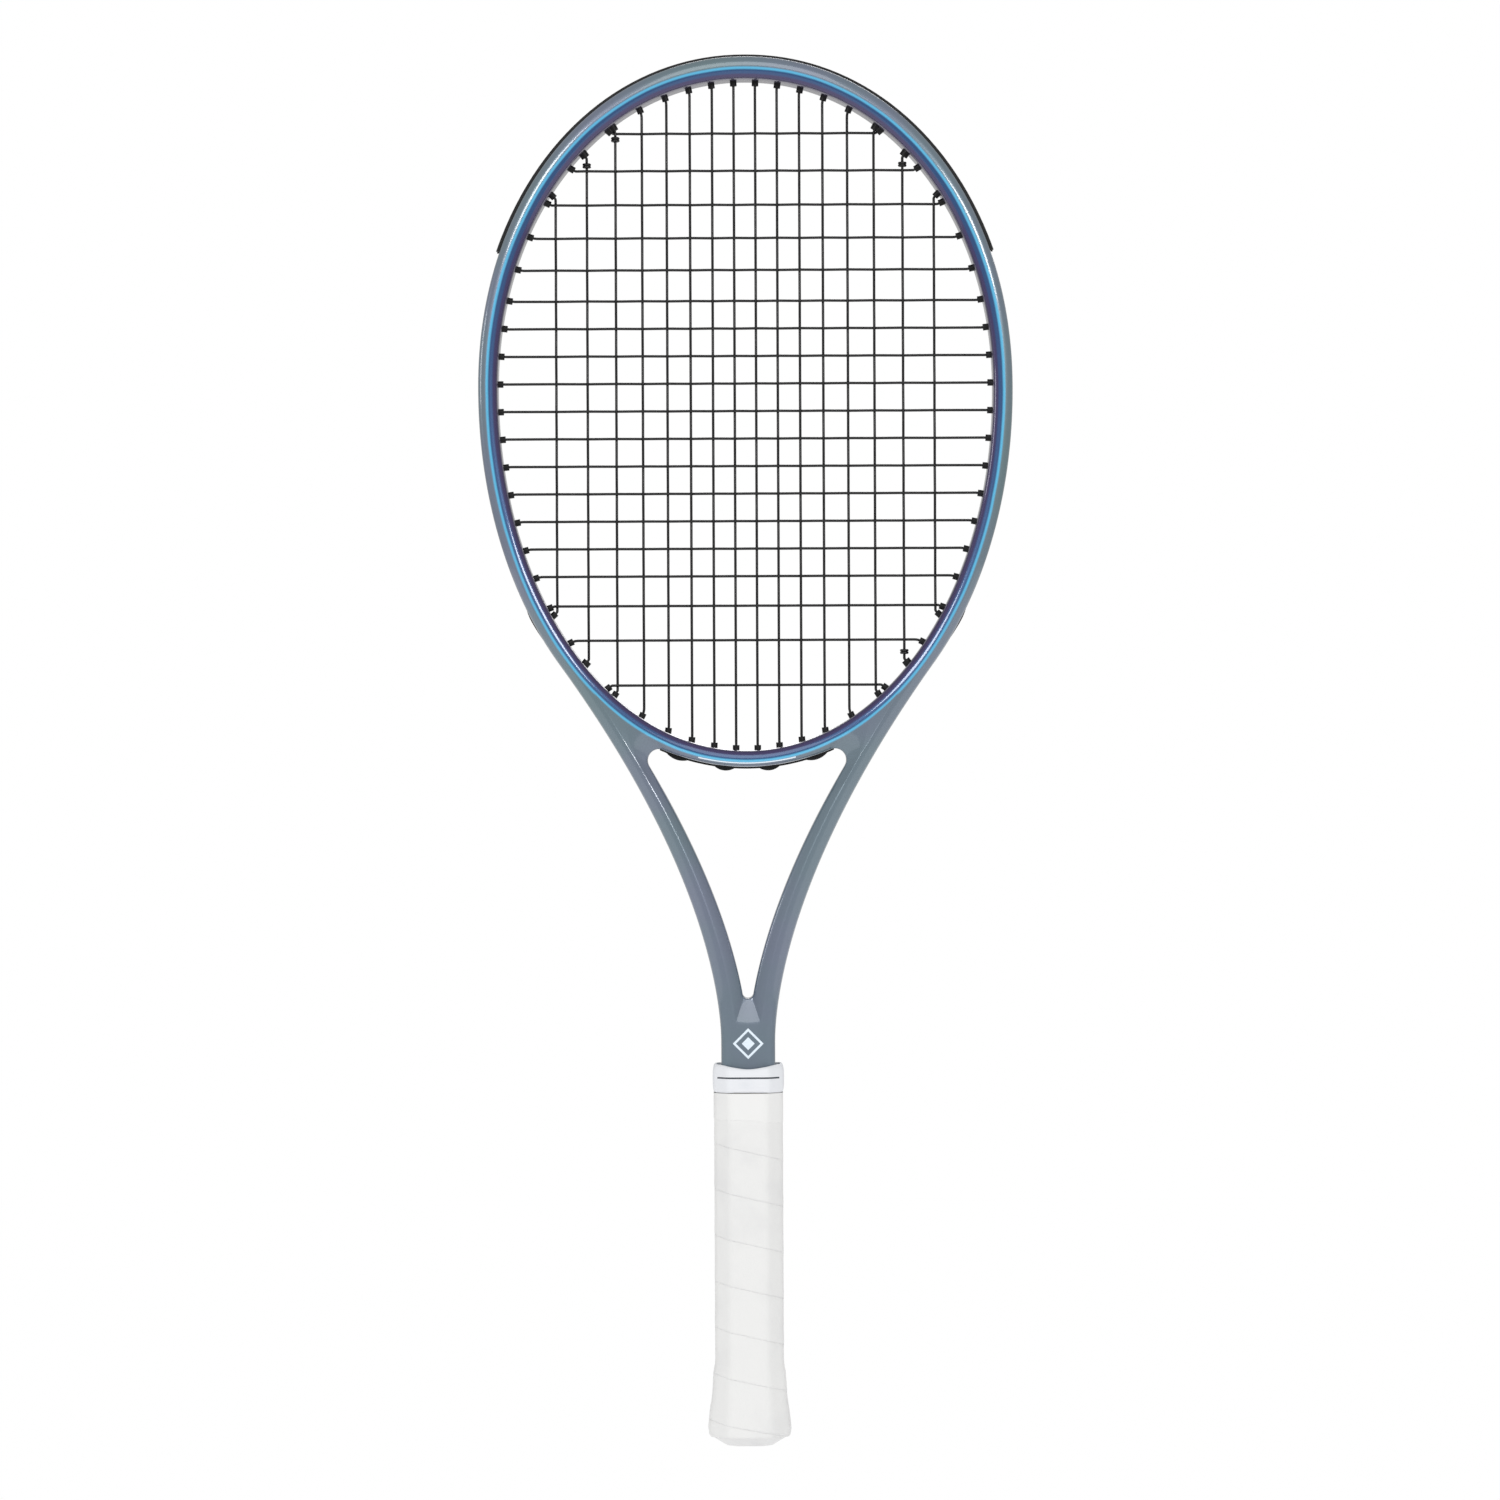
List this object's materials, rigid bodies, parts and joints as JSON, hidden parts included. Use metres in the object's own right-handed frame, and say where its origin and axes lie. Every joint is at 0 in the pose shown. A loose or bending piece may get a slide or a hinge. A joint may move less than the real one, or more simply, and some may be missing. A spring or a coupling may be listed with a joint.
{
  "type": "tennis racket",
  "caption": "Adult tennis racket: hollow composite frame with open throat, strung bed, bumper guard, grommet strips, wrapped octagonal handle and rubber collar.",
  "frame": {"origin": "centre of the butt end, on the handle's axis", "axes": "+Z along the racket from the butt to the tip, +X to the right in the plane of the strings, +Y through the strings, so the face seen first is on the -Y side"},
  "size_m": [0.2636, 0.0374, 0.6858],
  "materials": {
    "lacquered_composite": "pearl slate-blue lacquer with a clear coat on carbon and glass composite",
    "black_nylon": "moulded nylon, satin",
    "black_string": "extruded polyester string, satin",
    "pallet_foam": "rigid polyurethane foam",
    "white_plastic": "moulded, satin",
    "staple_wire": "galvanised wire",
    "white_grip": "soft synthetic grip with a fine grain",
    "white_tape": "thin stretched vinyl-faced tape",
    "white_rubber": "moulded soft rubber, satin"
  },
  "bodies": {
    "racket": {"frame": "lacquered_composite", "throat_bridge": "lacquered_composite", "bumper_guard": "black_nylon", "side_grommet_strip_right": "black_nylon", "side_grommet_strip_left": "black_nylon", "throat_grommet_strip": "black_nylon", "main_string": "black_string", "cross_string": "black_string", "tie_off_knots": "black_string", "handle_pallet_front": "pallet_foam", "handle_pallet_back": "pallet_foam", "butt_cap": "white_plastic", "butt_cap_staples": "staple_wire", "base_grip": "white_grip", "finishing_tape": "white_tape"},
    "plug": {"butt_plug": "white_plastic"},
    "collar": {"rubber_collar": "white_rubber"}
  },
  "joints": [
    {"name": "collar_slide", "type": "slide", "parent": "racket", "child": "collar", "axis": [0, 0, 1], "range_m": [0, 0.016]},
    {"name": "plug_pull", "type": "slide", "parent": "racket", "child": "plug", "axis": [0, 0, -1], "range_m": [0, 0.012]}
  ]
}
